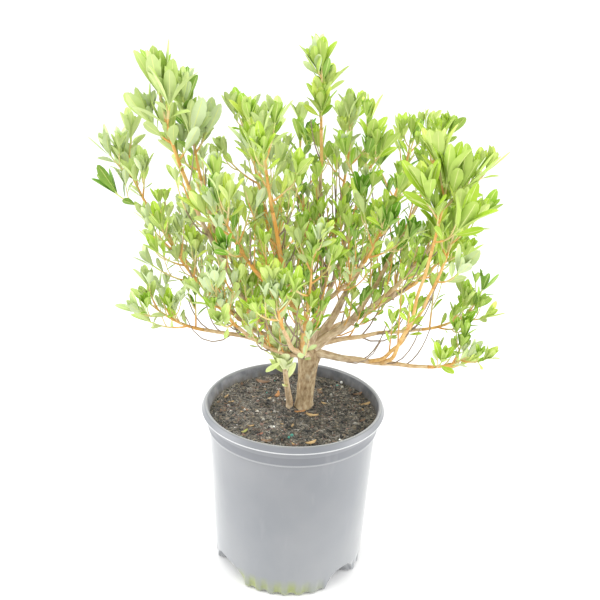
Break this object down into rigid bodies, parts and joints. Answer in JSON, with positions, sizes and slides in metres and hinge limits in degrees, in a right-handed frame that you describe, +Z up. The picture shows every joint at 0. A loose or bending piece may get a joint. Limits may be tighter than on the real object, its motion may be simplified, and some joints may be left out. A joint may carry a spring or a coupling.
{
  "type": "azalea shrub",
  "caption": "Potted azalea shrub: a short trunk forks low into spreading boughs with tufts of upright leaves, in a round nursery pot with a rolled lip.",
  "frame": {"origin": "centre of the pot's flat underside", "axes": "+Z up, -Y towards the side that the picture was taken from, +X to the right in that view"},
  "size_m": [0.6043, 0.4851, 0.7651],
  "materials": {
    "pot": "satin",
    "soil": "rough",
    "bark": "rough",
    "leaves": "soft sheen"
  },
  "bodies": {
    "root": {"pot": "pot", "soil": "soil", "trunk": "bark", "second_stem": "bark", "bough_right_low": "bark", "bough_right_main": "bark", "bough_back_right": "bark", "bough_top_mid": "bark", "bough_top_left": "bark", "bough_left_tall": "bark", "bough_left_mid": "bark", "bough_left_low": "bark", "bough_centre_front": "bark", "bough_upper_left": "bark", "bough_back_left": "bark", "bough_back_centre": "bark", "bough_right_mid": "bark", "bough_right_far": "bark", "bough_right_top": "bark", "bough_right_big": "bark", "bough_right_front": "bark", "bough_back_low": "bark", "bough_top_right": "bark", "bough_leader": "bark", "bough_top_centre": "bark", "bough_centre_right": "bark", "bough_centre": "bark", "bough_left_front": "bark", "bough_inner_left": "bark", "bough_left_inner": "bark", "bough_far_left": "bark", "leaves_sprout": "leaves", "leaves_right_low": "leaves", "leaves_right_main": "leaves", "leaves_back_right": "leaves", "leaves_top_mid": "leaves", "leaves_top_left": "leaves", "leaves_left_tall": "leaves", "leaves_left_mid": "leaves", "leaves_left_low": "leaves", "leaves_centre_front": "leaves", "leaves_upper_left": "leaves", "leaves_back_left": "leaves", "leaves_back_centre": "leaves", "leaves_right_mid": "leaves", "leaves_right_far": "leaves", "leaves_right_top": "leaves", "leaves_right_big": "leaves", "leaves_right_front": "leaves", "leaves_back_low": "leaves", "leaves_top_right": "leaves", "leaves_leader": "leaves", "leaves_top_centre": "leaves", "leaves_centre_right": "leaves", "leaves_centre": "leaves", "leaves_left_front": "leaves", "leaves_inner_left": "leaves", "leaves_left_inner": "leaves", "leaves_far_left": "leaves"}
  },
  "joints": []
}
